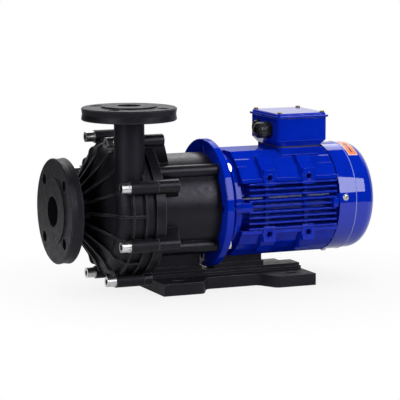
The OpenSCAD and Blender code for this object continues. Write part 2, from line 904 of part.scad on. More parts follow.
module cooling_fan() {
    x_fan = x_cowl + 12;
    blade_count = 8;
    blade_t = 2.5;
    blade_r = cowl_r - 14;
    hub_out_r = 16;
    color([0.18, 0.18, 0.19]) along_shaft() difference() {
        union() {
            rod(hub_out_r, x_fan, x_cowl_end - 20);
            tube(blade_r - 8, hub_out_r - 2, x_fan, x_fan + 3);
            for (i = [0 : blade_count - 1]) rotate([0, 0, i * 360 / blade_count]) radial_plate([
                [hub_out_r - 2, x_fan], [blade_r - 6, x_fan], [blade_r, x_fan + 5],
                [blade_r, x_cowl_end - 24], [hub_out_r - 2, x_cowl_end - 20]
            ], blade_t);
        }
        rod(10, x_fan - eps, x_cowl_end);
    }
}

module fan_clip() {
    color([0.3, 0.3, 0.32]) along_shaft() difference() {
        tube(13, 10, x_cowl_end - 20, x_cowl_end - 18.5);
        translate([0, -2.5, x_cowl_end - 21]) cube([20, 5, 4]);
    }
}

// Deep groove bearing, split into the part that turns and the part that stays
module bearing_inner(x0) {
    ball_r = 2.6;
    ball_ring_r = 19.3;
    tube(ball_ring_r - ball_r - 0.05, bearing_bore_r, x0, x0 + bearing_w);
    ring_of(9, ball_ring_r) translate([0, 0, x0 + bearing_w / 2]) sphere(r = ball_r, $fn = 24);
}

module bearing_outer(x0) {
    tube(bearing_r, 22.2, x0, x0 + bearing_w);
}

module front_bearing_inner() {
    color([0.75, 0.76, 0.78]) along_shaft() bearing_inner(x_front_bearing);
}

module front_bearing_outer() {
    color([0.7, 0.71, 0.73]) along_shaft() bearing_outer(x_front_bearing);
}

module rear_bearing_inner() {
    color([0.75, 0.76, 0.78]) along_shaft() bearing_inner(x_rear_bearing);
}

module rear_bearing_outer() {
    color([0.7, 0.71, 0.73]) along_shaft() bearing_outer(x_rear_bearing);
}

// Motor frame and shields

motor_blue = [0.06, 0.16, 0.66];

module shaft_seal() {
    color("black") along_shaft() tube(shaft_d / 2 + 6, shaft_d / 2 + 0.3, x_motor - spigot_h, x_motor + 1);
}

// Ears that tie a shield to the frame, two proud at the sides and two flush above and below
module side_ears(x0, x1, r_in, r_side, r_top) {
    for (i = [0 : 3]) rotate([0, 0, i * 90]) {
        r = i % 2 == 0 ? r_side : r_top;
        intersection() {
            translate([r_in, -ear_w / 2, x0]) cube([r - r_in, ear_w, x1 - x0]);
            translate([0, 0, x0 - eps]) cylinder(r = r, h = x1 - x0 + 2 * eps);
        }
    }
}

module motor_flange_shield() {
    body_r = motor_pcd / 2 - 11;
    wall = 7;
    x_back_face = x_motor + motor_flange_t;
    color(motor_blue) along_shaft() difference() {
        union() {
            rotate_extrude() polygon([
                [0, x_motor - spigot_h], [spigot_d / 2 - 1, x_motor - spigot_h],
                [spigot_d / 2, x_motor - spigot_h + 1], [spigot_d / 2, x_motor],
                [motor_flange_d / 2 - 1, x_motor], [motor_flange_d / 2, x_motor + 1],
                [motor_flange_d / 2, x_back_face - 1], [motor_flange_d / 2 - 1, x_back_face],
                [body_r + 0.8, x_back_face], [body_r, x_back_face + 0.8], [body_r, x_ear - 1],
                [frame_r - 4, x_ear + 4], [frame_r - 4, x_frame], [stator_r - fit, x_frame],
                [stator_r - fit, x_frame + 6], [0, x_frame + 6]
            ]);
            side_ears(x_ear, x_frame, stator_r, ear_r, frame_r - 2 * fit);
        }
        rod(shaft_d / 2 + 6, x_motor - spigot_h - eps, x_motor + 1);
        rod(bearing_bore_r + 2, x_motor, x_front_bearing + eps);
        rod(bearing_r, x_front_bearing, x_front_bearing + bearing_w);
        rotate_extrude() polygon([
            [0, x_front_bearing + bearing_w - eps], [bearing_r - 2, x_front_bearing + bearing_w - eps],
            [bearing_r + 3, x_front_bearing + bearing_w + 1], [stator_r - wall, x_frame - 8],
            [stator_r - wall, x_frame + 7], [0, x_frame + 7]
        ]);
        ring_of(8, motor_pcd / 2) rod(motor_bolt_d / 2 + 1, x_motor - eps, x_back_face + eps);
        ring_of(4, ear_bolt_r) rod(ear_bolt_d / 2 + fit, x_ear - eps, x_frame + eps);
    }
}

module flange_bolts() {
    head_x = x_motor + motor_flange_t + washer_t;
    color([0.86, 0.86, 0.84]) along_shaft() ring_of(4, motor_pcd / 2, 45) {
        rod(motor_bolt_d / 2, x_motor - 30, head_x + 1);
        translate([0, 0, head_x]) hexagon(0.92 * motor_bolt_d, 7);
        rod(0.78 * motor_bolt_d, head_x + 6.5, head_x + 7.6);
    }
}

module flange_washers() {
    x_back_face = x_motor + motor_flange_t;
    color([0.86, 0.86, 0.84]) along_shaft() ring_of(4, motor_pcd / 2, 45)
        tube(motor_bolt_d, motor_bolt_d / 2 + 0.3, x_back_face, x_back_face + washer_t);
}

module front_shield_bolts() {
    color([0.7, 0.7, 0.72]) along_shaft() ring_of(4, ear_bolt_r)
        translate([0, 0, x_ear]) socket_screw(ear_bolt_d, x_frame + 8 - x_ear);
}

// The sloped panels of a frame corner, from one of its points to another, moved out and up
function corner_panels(first, last, out, up) = [
    for (i = [first : last]) [frame_corner[i][0] + out, frame_r - frame_corner[i][1] + up]
];

// A shape on both sides of the vertical, above and below the shaft, from its top right outline
module on_four_sides(points) {
    for (a = [0, 180]) rotate(a)
        polygon(concat(points, [for (i = [len(points) - 1 : -1 : 0]) [-points[i][0], points[i][1]]]));
}

// Cross-section of the frame without its fins: a ring under sloped and stepped corners
module frame_section() {
    circle(r = stator_r + frame_wall);
    on_four_sides(concat(corner_panels(0, len(frame_corner) - 1, 0, 0), [[ledge_y, ledge_z - ledge_t]]));
}

module side_fins() {
    half = (fin_count - 1) / 2;
    for (i = [-half : half]) translate([0, i * fin_pitch]) square([2 * fin_tip, fin_t], center = true);
}

// Bosses on both sides with tapped holes for bolt-on feet
module at_foot_pads() {
    for (sx = [0, 1], sz = [-1, 1], sy = [-1, 1])
        translate([foot_pad_x + sx * pad_gap_x, sy * pad_face, axis_h + sz * pad_gap_z / 2])
            rotate([sy * 90, 0, 0]) children();
}

module foot_pads() {
    at_foot_pads() translate([-pad_w / 2, -pad_tall / 2, 0]) cube([pad_w, pad_tall, 22]);
}

// Columns that carry the foot pads: bands of the corner panels that stand proud, joined by a rib
module pad_columns() {
    column_w = pad_w + 3;
    column_out = 6;
    column_up = 2.5;
    rib_w = 6;
    rib_y = fin_tip - 10;
    panels = corner_panels(1, len(frame_corner) - 2, column_out, column_up);
    foot = [panels[len(panels) - 1][0], ledge_z - ledge_t / 2];
    for (sx = [0, 1]) translate([foot_pad_x + sx * pad_gap_x, 0, axis_h]) {
        rotate([90, 0, 90]) translate([0, 0, -column_w / 2]) linear_extrude(column_w)
            on_four_sides(concat(panels, [foot]));
        cube([rib_w, 2 * rib_y, pad_gap_z - pad_tall / 2], center = true);
    }
}

module stator_frame() {
    color(motor_blue) difference() {
        union() {
            along_shaft() {
                translate([0, 0, x_frame]) linear_extrude(frame_len) frame_section();
                translate([0, 0, x_frame + fin_in]) linear_extrude(frame_len - fin_in - 1) side_fins();
                side_ears(x_frame, x_frame + 15, stator_r, ear_r, frame_r);
                side_ears(x_frame_end - 8, x_frame_end, stator_r, ear_r, frame_r);
            }
            foot_pads();
            pad_columns();
            translate([box_x, 0, axis_h + box_pad_z - box_pad_t])
                rounded_block([box_len - 2 * box_neck_in, box_w - 2 * box_neck_in, box_pad_t], 6);
        }
        along_shaft() {
            rod(stator_r, x_frame - eps, x_frame_end + eps);
            ring_of(4, ear_bolt_r) rod(ear_bolt_d / 2 + fit, x_frame - eps, x_frame + 10);
            ring_of(4, ear_bolt_r - 8, 45) rod(ear_bolt_d / 2 + fit, x_frame_end - 12, x_frame_end + eps);
        }
        at_foot_pads() translate([0, 0, -eps]) cylinder(r = pad_hole_r, h = 17);
        translate([box_x, 0, axis_h + stator_r - 4]) cylinder(r = 14, h = 40);
    }
}

module stator_core() {
    slot_count = 24;
    color([0.48, 0.48, 0.5]) along_shaft() difference() {
        tube(stator_r - 0.05, rotor_r + air_gap, x_core, x_core + core_len);
        ring_of(slot_count, rotor_r + air_gap + 7.5) translate([0, 0, x_core - eps])
            cylinder(r = 2.6, h = core_len + 2 * eps);
    }
}

module stator_windings() {
    coil_r = rotor_r + 10;
    color([0.72, 0.36, 0.16]) along_shaft() for (x = [x_core - 10, x_core + core_len + 10])
        rotate_extrude() translate([coil_r, x]) {
            square([12, 14], center = true);
            for (s = [-1, 1]) translate([0, s * 7]) circle(r = 2.98);
        }
}

module rear_end_shield() {
    housing_r = bearing_r + 7;
    disc_t = 8;
    x_disc = x_frame_end;
    color(motor_blue) along_shaft() difference() {
        union() {
            rotate_extrude() polygon([
                [0, x_rear_bearing], [housing_r, x_rear_bearing], [housing_r, x_disc],
                [stator_r - 6, x_disc], [stator_r - 6, x_disc - 6], [stator_r - fit, x_disc - 6],
                [stator_r - fit, x_disc], [frame_r - 6, x_disc], [frame_r - 6, x_disc + disc_t],
                [housing_r + 3, x_disc + disc_t], [housing_r, x_rear_bearing + bearing_w + 6],
                [0, x_rear_bearing + bearing_w + 6]
            ]);
            rotate([0, 0, cowl_screw_turn])
                side_ears(x_disc, cowl_screw_x + 6, frame_r - 8, cowl_lug_r, cowl_lug_r);
        }
        rod(bearing_r, x_rear_bearing - eps, x_rear_bearing + bearing_w);
        rod(bearing_bore_r + 2, x_rear_bearing, x_rear_bearing + bearing_w + 7);
        ring_of(4, ear_bolt_r - 8, 45) rod(ear_bolt_d / 2 + fit, x_disc - eps, x_disc + disc_t + eps);
        at_cowl_screws() translate([0, 0, -14]) cylinder(d = 5 + 2 * fit, h = 15);
    }
}

module rear_shield_bolts() {
    color([0.7, 0.7, 0.72]) along_shaft() ring_of(4, ear_bolt_r - 8, 45)
        translate([0, 0, x_frame_end + 8]) mirror([0, 0, 1]) socket_screw(ear_bolt_d, 18);
}

// Fan cowl

module at_cowl_screws() {
    ring_of(4, cowl_r, cowl_screw_turn) translate([0, 0, cowl_screw_x]) rotate([0, 90, 0]) children();
}

// The cowl sheet seen in section, drawn in by an inset
function cowl_outline(inset) = concat(
    [[0, x_cowl - (inset > 0 ? eps : 0)], [cowl_r - inset, x_cowl - (inset > 0 ? eps : 0)]],
    [[cowl_r - inset, x_cowl_step], [cowl_r - 1 - inset, x_cowl_step + 1]],
    arc([cowl_r - 1 - cowl_round, x_cowl_end - cowl_round], cowl_round - inset, 0, 90, 6),
    [[0, x_cowl_end - inset]]
);

// Ring slots of the air inlet, crossed by spokes
module inlet_slots() {
    spoke_w = 5;
    slot_w = 5;
    difference() {
        for (r = [18 : 10 : cowl_r - cowl_round - 8]) difference() {
            circle(r = r + slot_w);
            circle(r = r);
        }
        for (a = [0 : 60 : 120]) rotate([0, 0, a]) square([2 * cowl_r, spoke_w], center = true);
    }
}

module fan_cowl() {
    color([0.05, 0.14, 0.6]) along_shaft() difference() {
        rotate_extrude() polygon(cowl_outline(0));
        rotate_extrude() polygon(cowl_outline(cowl_t));
        translate([0, 0, x_cowl_end - 4]) linear_extrude(6) inlet_slots();
        at_cowl_screws() translate([0, 0, -8]) cylinder(d = 5.6, h = 10);
    }
}

module cowl_screws() {
    color([0.75, 0.75, 0.77]) along_shaft() at_cowl_screws() {
        pan_screw(5, 11, 3);
        tube(5.2, 2.5, 0, 0.8);
    }
}

// Terminal box

module box_ring(size, wall, z0, z1, r) {
    translate([box_x, 0, axis_h + z0]) difference() {
        rounded_block([size[0], size[1], z1 - z0], r);
        translate([0, 0, -eps])
            rounded_block([size[0] - 2 * wall, size[1] - 2 * wall, z1 - z0 + 2 * eps], r - 2);
    }
}

module box_gasket() {
    color([0.6, 0.6, 0.6])
        box_ring([box_len - 2 * box_neck_in, box_w - 2 * box_neck_in], box_seat_w, box_pad_z, neck_z, 6);
}

module at_lid_screws() {
    for (sx = [-1, 1], sy = [-1, 1]) translate([
        box_x + sx * (box_len / 2 - lid_screw_in), sy * (box_w / 2 - lid_screw_in), axis_h + lid_z
    ]) children();
}

module at_entry(side) {
    translate([x_box, side * entry_y, axis_h + entry_z]) rotate([0, -90, 0]) children();
}

module terminal_box() {
    color(motor_blue) difference() {
        union() {
            translate([box_x, 0, axis_h + box_z]) rounded_block([box_len, box_w, box_h], 5);
            hull() {
                translate([box_x, 0, axis_h + neck_z])
                    rounded_block([box_len - 2 * box_neck_in, box_w - 2 * box_neck_in, 1], 5, $fn = 24);
                translate([box_x, 0, axis_h + box_z])
                    rounded_block([box_len, box_w, 1], 5, $fn = 24);
            }
        }
        translate([box_x, 0, axis_h + box_z + 2])
            rounded_block([box_len - 2 * box_wall - 8, box_w - 2 * box_wall, box_h], 4);
        translate([box_x, 0, axis_h + box_z + 2])
            rounded_block([box_len - 2 * box_wall, box_w - 2 * box_wall - 14, box_h], 4);
        translate([box_x, 0, axis_h + neck_z - eps])
            rounded_block([box_len - 2 * box_neck_in - 2 * box_seat_w, wire_window, box_h / 2], 4);
        for (s = [-1, 1]) at_entry(s) rod(entry_d / 2 + fit, -box_wall - 4, 4);
        at_lid_screws() translate([0, 0, -lid_hole_len])
            cylinder(d = lid_screw_d + 2 * fit, h = lid_hole_len + eps);
    }
}

module lid_gasket() {
    color([0.1, 0.1, 0.1]) difference() {
        box_ring([box_len, box_w], box_wall, lid_z, lid_z + lid_gasket_t, 5);
        at_lid_screws() translate([0, 0, -eps]) cylinder(d = 1.5 * lid_screw_d, h = lid_gasket_t + 2 * eps);
    }
}

module terminal_box_lid() {
    z0 = axis_h + lid_z + lid_gasket_t;
    top = lid_lip_t + lid_top_t;
    color(motor_blue) difference() {
        union() {
            translate([box_x, 0, z0])
                rounded_block([box_len + 2 * lip_over, box_w + 2 * lip_over, lid_lip_t], 6);
            translate([box_x, 0, z0]) hull() {
                rounded_block([box_len - 1, box_w - 1, top - lid_edge], 5, $fn = 32);
                rounded_block([box_len - 1 - 2 * lid_edge, box_w - 1 - 2 * lid_edge, top], 5, $fn = 32);
            }
        }
        translate([box_x, 0, z0 - eps]) rounded_block([box_len - 24, box_w - 24, lid_top_t + eps], 4);
        at_lid_screws() translate([0, 0, -eps]) cylinder(d = lid_screw_d + 2 * fit, h = lid_screw_len);
    }
}

module lid_screws() {
    color([0.7, 0.6, 0.35]) at_lid_screws()
        translate([0, 0, lid_gasket_t + lid_lip_t + lid_top_t])
            pan_screw(lid_screw_d, lid_screw_len, 0.6 * lid_screw_d);
}

block_len = 44;
block_w = 30;
block_h = 10;
block_z = box_z + 2;

module at_studs() {
    for (i = [-1 : 1], s = [-1, 1])
        translate([box_x + 8 + i * 14, s * 8, axis_h + block_z + block_h]) children();
}

module terminal_block() {
    color([0.12, 0.12, 0.12]) difference() {
        translate([box_x + 8, 0, axis_h + block_z]) {
            rounded_block([block_len, block_w + 6, 3], 3);
            rounded_block([block_len, block_w, block_h], 3);
        }
        at_studs() translate([0, 0, -7]) cylinder(r = 2.1, h = 8);
    }
}

module terminal_studs() {
    color([0.8, 0.66, 0.3]) at_studs() {
        translate([0, 0, -7]) cylinder(r = 2, h = 18);
        hexagon(4, 3.2);
    }
}

// Cable gland and blanking plug on the front of the terminal box

gland_hex_t = 8;
gland_nut_len = 15;
gland_thread_r = entry_d / 2 - 0.5;

module gland_body() {
    color([0.1, 0.1, 0.11]) at_entry(-1) difference() {
        union() {
            hexagon(gland_hex_r, gland_hex_t);
            translate([0, 0, -box_wall - 6]) cylinder(d = entry_d, h = box_wall + 7);
            cylinder(r = gland_thread_r, h = gland_hex_t + 8);
        }
        translate([0, 0, -box_wall - 7]) cylinder(r = cable_d / 2 + 1, h = 40);
    }
}

module gland_nut() {
    nut_r = gland_hex_r - 1;
    z1 = gland_hex_t + 1 + gland_nut_len;
    flute_count = 18;
    flute_r = 1.2;
    color([0.1, 0.1, 0.11]) at_entry(-1) difference() {
        rotate_extrude() polygon(concat(
            [[0, gland_hex_t + 1], [nut_r, gland_hex_t + 1]],
            arc([nut_r - 5, z1 - 5], 5, 0, 75, 5), [[cable_d / 2 + 0.5, z1], [0, z1]]));
        translate([0, 0, gland_hex_t]) cylinder(r = gland_thread_r + fit, h = gland_nut_len - 3);
        cylinder(d = cable_d, h = z1 + eps);
        ring_of(flute_count, nut_r + flute_r / 3) rod(flute_r, gland_hex_t, z1 - 7);
    }
}

module gland_seal() {
    color([0.05, 0.05, 0.05]) at_entry(-1)
        tube(gland_thread_r, cable_d / 2 + 0.3, gland_hex_t + 8, gland_hex_t + gland_nut_len - 3);
}

module gland_locknut() {
    color([0.1, 0.1, 0.11]) at_entry(-1) translate([0, 0, -box_wall - 5]) difference() {
        hexagon(gland_hex_r, 5);
        translate([0, 0, -eps]) cylinder(d = entry_d + 2 * fit, h = 5 + 2 * eps);
    }
}

module blanking_plug() {
    color([0.1, 0.1, 0.11]) at_entry(1) {
        hexagon(gland_hex_r, 5);
        rotate_extrude() polygon(concat(
            [[0, 0], [gland_hex_r - 2, 0]], arc([gland_hex_r - 5, 5], 3, 0, 90, 4), [[0, 8]]));
        translate([0, 0, -box_wall - 2]) cylinder(d = entry_d, h = box_wall + 3);
    }
}

base_plate();
motor_saddle();
foot_screws();
bracket();
front_casing();
mouth_ring();
spindle_support();
spindle();
front_thrust_ring();
rear_thrust_ring();
rear_casing();
casing_o_ring();
casing_bolts();
casing_spring_washers();
casing_washers();
impeller();
impeller_bush();
magnet_capsule();
inner_yoke();
inner_magnets();
capsule_cap();
drive_yoke();
drive_magnets();
drive_key();
yoke_set_screw();
motor_shaft();
rotor_core();
rotor_end_rings();
cooling_fan();
fan_clip();
front_bearing_inner();
front_bearing_outer();
rear_bearing_inner();
rear_bearing_outer();
shaft_seal();
motor_flange_shield();
flange_bolts();
flange_washers();
front_shield_bolts();
stator_frame();
stator_core();
stator_windings();
rear_end_shield();
rear_shield_bolts();
fan_cowl();
cowl_screws();
box_gasket();
terminal_box();
lid_gasket();
terminal_box_lid();
lid_screws();
terminal_block();
terminal_studs();
gland_body();
gland_nut();
gland_seal();
gland_locknut();
blanking_plug();
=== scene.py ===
from math import cos, radians, sin

import bmesh
import bpy
import numpy as np
from mathutils import Matrix, Vector


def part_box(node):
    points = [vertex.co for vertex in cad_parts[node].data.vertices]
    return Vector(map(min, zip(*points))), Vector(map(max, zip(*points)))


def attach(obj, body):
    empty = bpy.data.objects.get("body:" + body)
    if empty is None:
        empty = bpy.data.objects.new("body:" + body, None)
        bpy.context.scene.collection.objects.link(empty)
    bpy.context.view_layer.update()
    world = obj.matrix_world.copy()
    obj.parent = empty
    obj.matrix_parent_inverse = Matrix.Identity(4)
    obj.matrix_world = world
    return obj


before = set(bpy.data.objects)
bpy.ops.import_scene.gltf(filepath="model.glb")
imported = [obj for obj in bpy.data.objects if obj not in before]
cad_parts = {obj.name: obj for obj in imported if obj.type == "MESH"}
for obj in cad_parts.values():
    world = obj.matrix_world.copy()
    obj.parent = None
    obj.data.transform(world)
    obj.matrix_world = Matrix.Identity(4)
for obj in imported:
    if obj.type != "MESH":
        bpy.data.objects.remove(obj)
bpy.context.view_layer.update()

# Base plate and motor saddle: two black mouldings of glass-filled polypropylene.
# The base is a ribbed shell with slotted pads, and the saddle is screwed to its
# ridge from below. Both keep the fine spark-eroded grain of the mould.

MM = 0.001
BLACK_BASE = (0.0062, 0.0058, 0.0080, 1.0)
BLACK_BASE_WORN = (0.0105, 0.0100, 0.0130, 1.0)
# Painted edge highlight: the pale tone that the edges of the black plastics are lightened towards.
BLACK_EDGE_HIGHLIGHT = (0.215, 0.210, 0.225, 1.0)
PLASTIC_SHINE = (0.88, 0.84, 1.0, 1.0)
PLASTIC_SPECULAR = 0.24
PLASTIC_DRIFT = (-0.06, 0.08)
MOULD_GRAIN = 0.04 * MM
MOULD_EDGE = 1.1 * MM
GRAIN_WAVES = 1900.0
SINK_WAVES = 70.0
SINK_DEPTH = 0.1 * MM
# Painted edge highlight in patches: the size of its noise and the least part of it that shows.
EDGE_HIGHLIGHT_WAVES = 55.0
EDGE_HIGHLIGHT_LEAST = 0.45
FLOW_WAVES = 38.0
GLOSS_WAVES = 120.0
BEVEL_SAMPLES = 6
SHELTER_SAMPLES = 8
SHELTER_REACH = 14 * MM
OPEN_RANGE = (0.15, 0.70)
EDGE_LIKENESS = (0.75, 0.98)
# Painted shade: the share of the dark tone that is left in corners.
PAINTED_CORNER_SHADE = 0.35


def new_finish(name):
    """A node material, with its tree and its shader."""
    material = bpy.data.materials.new(name)
    material.use_nodes = True
    tree = material.node_tree
    return material, tree, tree.nodes["Principled BSDF"]


def add_noise(tree, waves_per_metre, detail=2.0):
    """Cloud noise on the piece's own coordinates, as a socket from 0 to 1."""
    place = tree.nodes.new("ShaderNodeTexCoord")
    cloud = tree.nodes.new("ShaderNodeTexNoise")
    cloud.inputs["Scale"].default_value = waves_per_metre
    cloud.inputs["Detail"].default_value = detail
    tree.links.new(place.outputs["Object"], cloud.inputs["Vector"])
    return cloud.outputs["Fac"]


def spread(tree, socket, low, high, start=0.3, end=0.7):
    """The part of a socket from start to end, stretched to run from low to high.
    Without a start and end, it is the part that cloud noise mostly takes."""
    ramp = tree.nodes.new("ShaderNodeMapRange")
    ramp.inputs["From Min"].default_value = start
    ramp.inputs["From Max"].default_value = end
    ramp.inputs["To Min"].default_value = low
    ramp.inputs["To Max"].default_value = high
    tree.links.new(socket, ramp.inputs["Value"])
    return ramp.outputs["Result"]


def feed(tree, socket, source):
    """Links a socket to another one, or sets it to a plain value."""
    if isinstance(source, bpy.types.NodeSocket):
        tree.links.new(source, socket)
    else:
        socket.default_value = source


def blend_colours(tree, socket, first, second):
    """A colour that runs from first to second as the socket runs from 0 to 1."""
    mix = tree.nodes.new("ShaderNodeMix")
    mix.data_type = "RGBA"
    tree.links.new(socket, mix.inputs["Factor"])
    feed(tree, mix.inputs["A"], first)
    feed(tree, mix.inputs["B"], second)
    return mix.outputs["Result"]


def combine(tree, operation, first, second):
    """Two sockets, or a socket and a number, through one arithmetic step."""
    step = tree.nodes.new("ShaderNodeMath")
    step.operation = operation
    feed(tree, step.inputs[0], first)
    feed(tree, step.inputs[1], second)
    return step.outputs["Value"]


def scaled(colour, factor):
    """A colour times a factor, kept under 1."""
    return tuple(min(1.0, part * factor) for part in colour[:3]) + (1.0,)


def rounded_normal(tree, edge_radius):
    """The normal of the surface with its edges rounded by edge_radius."""
    bevel = tree.nodes.new("ShaderNodeBevel")
    bevel.samples = BEVEL_SAMPLES
    bevel.inputs["Radius"].default_value = edge_radius
    return bevel.outputs["Normal"]


def surface_masks(tree, normal):
    """Two masks of a piece from 0 to 1: its outer edges, where the rounded normal leaves the normal
    of the face, and how open each point is to the room."""
    face = tree.nodes.new("ShaderNodeNewGeometry")
    likeness = tree.nodes.new("ShaderNodeVectorMath")
    likeness.operation = "DOT_PRODUCT"
    tree.links.new(normal, likeness.inputs[0])
    tree.links.new(face.outputs["Normal"], likeness.inputs[1])
    shelter = tree.nodes.new("ShaderNodeAmbientOcclusion")
    shelter.samples = SHELTER_SAMPLES
    shelter.only_local = True
    shelter.inputs["Distance"].default_value = SHELTER_REACH
    openness = spread(tree, shelter.outputs["AO"], 0.0, 1.0, *OPEN_RANGE)
    turned_away = spread(tree, likeness.outputs["Value"], 1.0, 0.0, *EDGE_LIKENESS)
    return combine(tree, "MULTIPLY", turned_away, openness), openness


def relief(tree, shader, normal, layers):
    """Adds each layer (socket, height in metres) to a normal as bump.
    The clear coat, where there is one, follows the same relief."""
    for socket, height in layers:
        bump = tree.nodes.new("ShaderNodeBump")
        bump.inputs["Strength"].default_value = 1.0
        bump.inputs["Distance"].default_value = height
        tree.links.new(socket, bump.inputs["Height"])
        tree.links.new(normal, bump.inputs["Normal"])
        normal = bump.outputs["Normal"]
    tree.links.new(normal, shader.inputs["Normal"])
    tree.links.new(normal, shader.inputs["Coat Normal"])


def moulded_plastic(name, dark, worn, edge_highlight, roughness, grain=MOULD_GRAIN, edge=MOULD_EDGE):
    """Filled plastic: slow flow clouds in tone and gloss, a fine eroded grain over slow sink marks,
    a painted highlight on the edges, stronger in some places than in others, and painted shade in the
    corners."""
    material, tree, shader = new_finish(name)
    normal = rounded_normal(tree, edge)
    edges, openness = surface_masks(tree, normal)
    # Painted highlight: the edges are lightened towards the edge tone, in patches, where light would catch
    # them.
    highlight_patches = spread(tree, add_noise(tree, EDGE_HIGHLIGHT_WAVES), EDGE_HIGHLIGHT_LEAST, 1.0)
    highlighted_edges = combine(tree, "MULTIPLY", edges, highlight_patches)
    flow = spread(tree, add_noise(tree, FLOW_WAVES, 4.0), 0.0, 1.0)
    face_colour = blend_colours(tree, highlighted_edges, blend_colours(tree, flow, dark, worn), edge_highlight)
    # Painted shade: the colour darkens towards the dark tone in corners, where shade falls.
    plastic_colour = blend_colours(tree, openness, scaled(dark, PAINTED_CORNER_SHADE), face_colour)
    tree.links.new(plastic_colour, shader.inputs["Base Color"])
    smooth, rough = [roughness + drift for drift in PLASTIC_DRIFT]
    gloss = spread(tree, add_noise(tree, GLOSS_WAVES, 3.0), smooth, rough)
    tree.links.new(gloss, shader.inputs["Roughness"])
    shader.inputs["Specular IOR Level"].default_value = PLASTIC_SPECULAR
    shader.inputs["Specular Tint"].default_value = PLASTIC_SHINE
    grains = add_noise(tree, GRAIN_WAVES)
    sinks = add_noise(tree, SINK_WAVES, 1.0)
    relief(tree, shader, normal, [(grains, grain), (sinks, SINK_DEPTH)])
    return material


def dress(material, *names):
    """Gives CAD nodes a finish."""
    for name in names:
        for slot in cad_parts[name].material_slots:
            slot.material = material


base_plastic = moulded_plastic(
    "base_moulding", BLACK_BASE, BLACK_BASE_WORN, BLACK_EDGE_HIGHLIGHT, roughness=0.42)
dress(base_plastic, "base_plate", "motor_saddle")

# Foot screws: stainless socket screws that pull the bracket and the saddle down
# on the ridge. Their heads sit inside the hollow underside of the base.

STAINLESS = (0.82, 0.82, 0.83, 1.0)
STAINLESS_DULL = (0.62, 0.62, 0.64, 1.0)
# Grease and painted shade: the share of the dull tone that is left in sockets and corners.
GREASE_AND_PAINTED_SHADE = 0.12
METAL_DRIFT = (-0.05, 0.08)
METAL_WAVES = 240.0
METAL_EDGE = 0.4 * MM
TOOL_WAVES = 2600.0
TOOL_HEIGHT = 0.02 * MM


def bare_metal(name, bright, dull, roughness, waves=METAL_WAVES, height=TOOL_HEIGHT):
    """Machined metal: tone and roughness drift together over a fine tool texture, and grease with
    painted shade darkens the sockets and the corners."""
    material, tree, shader = new_finish(name)
    normal = rounded_normal(tree, METAL_EDGE)
    openness = surface_masks(tree, normal)[1]
    drift = add_noise(tree, waves, 3.0)
    face_colour = blend_colours(tree, spread(tree, drift, 0.0, 1.0), bright, dull)
    # Grease and painted shade: the colour darkens in the sockets and corners, where shade falls.
    metal_colour = blend_colours(tree, openness, scaled(dull, GREASE_AND_PAINTED_SHADE), face_colour)
    tree.links.new(metal_colour, shader.inputs["Base Color"])
    smooth, rough = [roughness + step for step in METAL_DRIFT]
    tree.links.new(spread(tree, drift, smooth, rough), shader.inputs["Roughness"])
    shader.inputs["Metallic"].default_value = 1.0
    relief(tree, shader, normal, [(add_noise(tree, TOOL_WAVES, 1.0), height)])
    return material


stainless = bare_metal("stainless_steel", STAINLESS, STAINLESS_DULL, roughness=0.32)
dress(stainless, "foot_screws")

# Bracket: the black moulded barrel between the wet end and the motor, with eight
# bolt lugs, four rails for the motor bolts and a foot. It is the same plastic as
# the casing, a little smoother than the base.

BLACK_CASING = (0.0052, 0.0048, 0.0068, 1.0)
BLACK_CASING_WORN = (0.0090, 0.0086, 0.0112, 1.0)

casing_plastic = moulded_plastic(
    "casing_moulding", BLACK_CASING, BLACK_CASING_WORN, BLACK_EDGE_HIGHLIGHT, roughness=0.33, grain=0.03 * MM)
dress(casing_plastic, "bracket")

# Wet end: the containment can, its O-ring, the ceramic spindle with its thrust
# rings and mouth ring, and the impeller with its carbon bush and sealed magnets.
# Only the spider in the suction bore shows, the rest is found on the bench.

CERAMIC = (0.80, 0.78, 0.72, 1.0)
CERAMIC_SHADE = (0.70, 0.68, 0.62, 1.0)
CARBON = (0.020, 0.020, 0.021, 1.0)
CARBON_BRIGHT = (0.050, 0.050, 0.052, 1.0)
RUBBER = (0.010, 0.010, 0.010, 1.0)
RUBBER_BLOOM = (0.030, 0.030, 0.030, 1.0)
MAGNET = (0.42, 0.41, 0.40, 1.0)
MAGNET_DULL = (0.28, 0.27, 0.27, 1.0)

ceramic = moulded_plastic(
    "alumina_ceramic", CERAMIC, CERAMIC_SHADE, CERAMIC, roughness=0.22, grain=0.005 * MM, edge=0.3 * MM)
carbon = moulded_plastic(
    "bearing_carbon", CARBON, CARBON_BRIGHT, CARBON_BRIGHT, roughness=0.36, grain=0.01 * MM, edge=0.3 * MM)
rubber = moulded_plastic(
    "black_rubber", RUBBER, RUBBER_BLOOM, RUBBER_BLOOM, roughness=0.62, grain=0.03 * MM, edge=0.4 * MM)
magnet = bare_metal("plated_magnet", MAGNET, MAGNET_DULL, roughness=0.35)
dress(casing_plastic, "spindle_support", "rear_casing", "impeller", "magnet_capsule", "capsule_cap")
dress(ceramic, "mouth_ring", "spindle", "front_thrust_ring", "rear_thrust_ring")
dress(carbon, "impeller_bush")
dress(rubber, "casing_o_ring")
dress(magnet, "inner_magnets", "drive_magnets")

# Front casing: one large black moulding with the suction and discharge flanges, the
# volute and the stiffening ribs, from a mould with a coarser grain. It is pressed on
# the can by eight stainless socket screws, each on a plain and a spring washer.

front_plastic = moulded_plastic(
    "front_casing_moulding", BLACK_CASING, BLACK_CASING_WORN, BLACK_EDGE_HIGHLIGHT, roughness=0.48)
dress(front_plastic, "front_casing")
dress(stainless, "casing_bolts", "casing_washers", "casing_spring_washers")

# Drive yoke and rotor: a turned steel cup of magnets keyed to the motor shaft,
# the laminated rotor with cast end rings, and two deep groove ball bearings.

